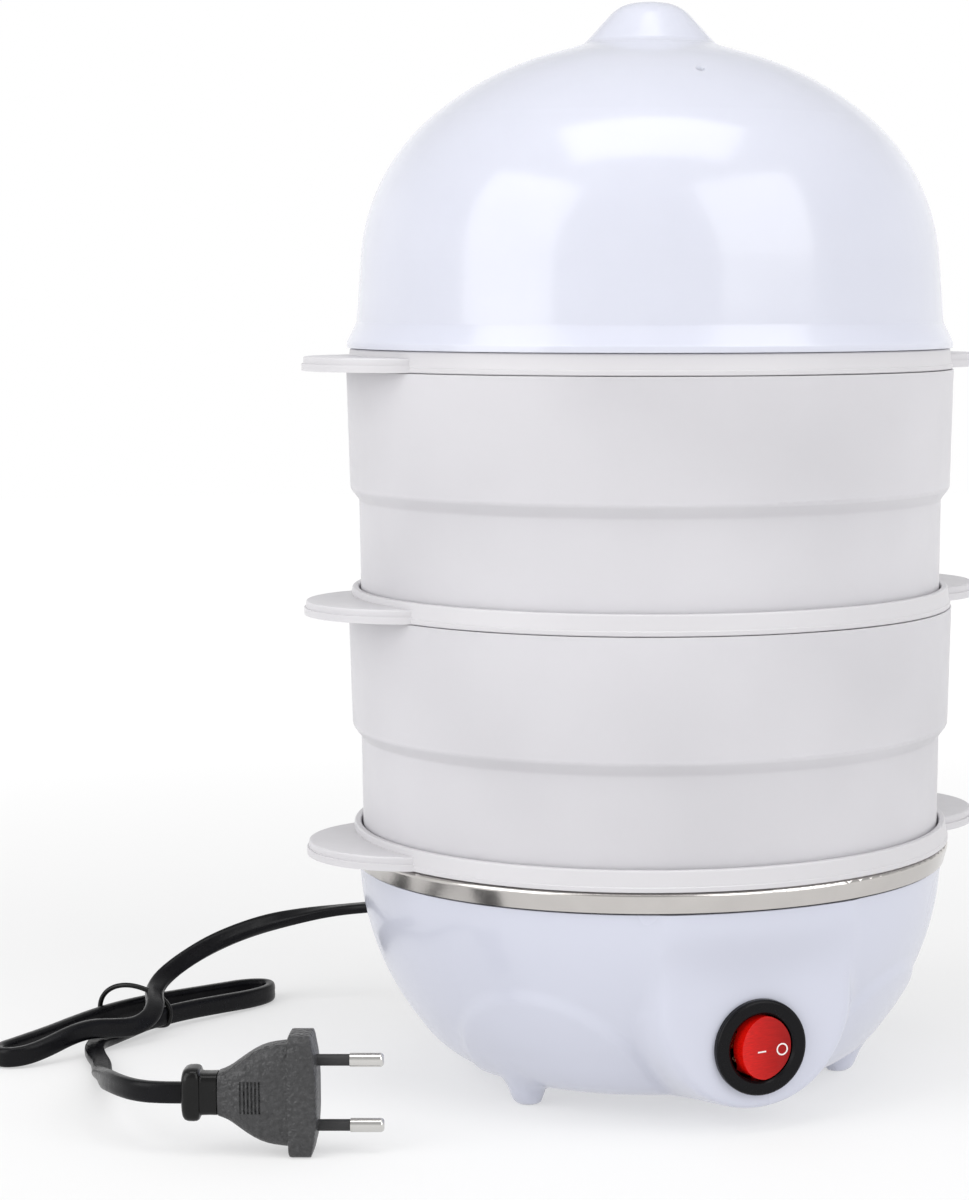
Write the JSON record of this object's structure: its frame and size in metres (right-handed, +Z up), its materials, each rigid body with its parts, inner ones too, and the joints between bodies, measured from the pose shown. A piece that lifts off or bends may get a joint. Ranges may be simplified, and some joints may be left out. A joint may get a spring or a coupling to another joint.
{
  "type": "electric egg boiler",
  "caption": "Stacking electric egg boiler: round base with rocker switch and steel water pan, egg trays with side ears, milky tiers, domed lid with knob, and a tied power cord with a plug.",
  "frame": {"origin": "middle of the base, on the surface it stands on", "axes": "+Z up, -Y towards the side with the switch, X through the ears of the trays"},
  "size_m": [0.2743, 0.2055, 0.2981],
  "materials": {
    "base_plastic": "glossy white",
    "steel": "polished",
    "tray_plastic": "satin white",
    "tier_plastic": "milky satin",
    "lid_plastic": "milky gloss",
    "black_plastic": "semi gloss",
    "rocker_red": "translucent red",
    "rubber_seal": "matt",
    "black_rubber": "satin",
    "aluminium": "plain",
    "brass": "plain",
    "zinc_steel": "zinc plated",
    "ceramic": "unglazed",
    "brown_plastic": "matt",
    "wire_brown": "satin",
    "wire_blue": "satin",
    "wire_white": "glass braid",
    "lamp_glass": "clear",
    "plug_plastic": "grained charcoal",
    "nickel": "nickel plated",
    "cord_black": "semi gloss"
  },
  "bodies": {
    "base": {"base_housing": "base_plastic", "heating_pan": "steel", "pan_seal": "rubber_seal", "heat_spreader_plate": "aluminium", "heating_element": "zinc_steel", "element_end_seals": "ceramic", "element_terminals": "zinc_steel", "pan_weld_nuts": "zinc_steel", "pan_fixing_screws": "zinc_steel", "thermostat_body": "brown_plastic", "thermostat_bracket": "zinc_steel", "thermostat_screws": "zinc_steel", "thermostat_terminals": "brass", "thermal_fuse": "zinc_steel", "switch_housing": "black_plastic", "switch_terminals": "brass", "switch_lamp": "lamp_glass", "cord_bushing": "black_rubber", "cord_inner_sheath": "cord_black", "cord_clamp": "black_plastic", "cord_clamp_screws": "zinc_steel", "wire_connectors": "brass", "wire_live": "wire_brown", "wire_neutral": "wire_blue", "wire_switch_to_thermostat": "wire_white", "wire_thermostat_to_fuse": "wire_white", "wire_fuse_to_element": "wire_white", "cord_tie": "black_rubber", "plug_body": "plug_plastic", "plug_strain_relief": "cord_black", "plug_pins": "nickel", "plug_pin_sleeves": "black_plastic", "power_cord_lead": "cord_black", "power_cord_hank": "cord_black", "power_cord_tail": "cord_black"},
    "tray_lower": {"egg_tray_lower": "tray_plastic"},
    "tier_lower": {"tier_lower": "tier_plastic"},
    "tray_middle": {"egg_tray_middle": "tray_plastic"},
    "tier_upper": {"tier_upper": "tier_plastic"},
    "tray_upper": {"egg_tray_upper": "tray_plastic"},
    "lid": {"lid_dome": "lid_plastic"},
    "rocker": {"switch_rocker": "rocker_red", "switch_plunger": "black_plastic"},
    "contact_lever": {"switch_contact_lever": "brass"}
  },
  "joints": [
    {"name": "tray_lower_lift", "type": "slide", "parent": "base", "child": "tray_lower", "axis": [0, 0, 1], "range_m": [0, 0.06]},
    {"name": "tier_lower_lift", "type": "slide", "parent": "tray_lower", "child": "tier_lower", "axis": [0, 0, 1], "range_m": [0, 0.08]},
    {"name": "tray_middle_lift", "type": "slide", "parent": "tier_lower", "child": "tray_middle", "axis": [0, 0, 1], "range_m": [0, 0.06]},
    {"name": "tier_upper_lift", "type": "slide", "parent": "tray_middle", "child": "tier_upper", "axis": [0, 0, 1], "range_m": [0, 0.08]},
    {"name": "tray_upper_lift", "type": "slide", "parent": "tier_upper", "child": "tray_upper", "axis": [0, 0, 1], "range_m": [0, 0.06]},
    {"name": "lid_lift", "type": "slide", "parent": "tray_upper", "child": "lid", "axis": [0, 0, 1], "range_m": [0, 0.11]},
    {"name": "rocker_tilt", "type": "hinge", "parent": "base", "child": "rocker", "pos_m": [0, -0.0738, 0.023], "axis": [0, 0, 1], "range_deg": [-20, 0]},
    {"name": "contact_lever_tilt", "type": "hinge", "parent": "base", "child": "contact_lever", "pos_m": [0, -0.0682, 0.023], "axis": [0, 0, 1], "range_deg": [0, 12]}
  ],
  "couplings": [
    {"joint": "contact_lever_tilt", "follows": "rocker_tilt", "ratio": -0.6}
  ]
}
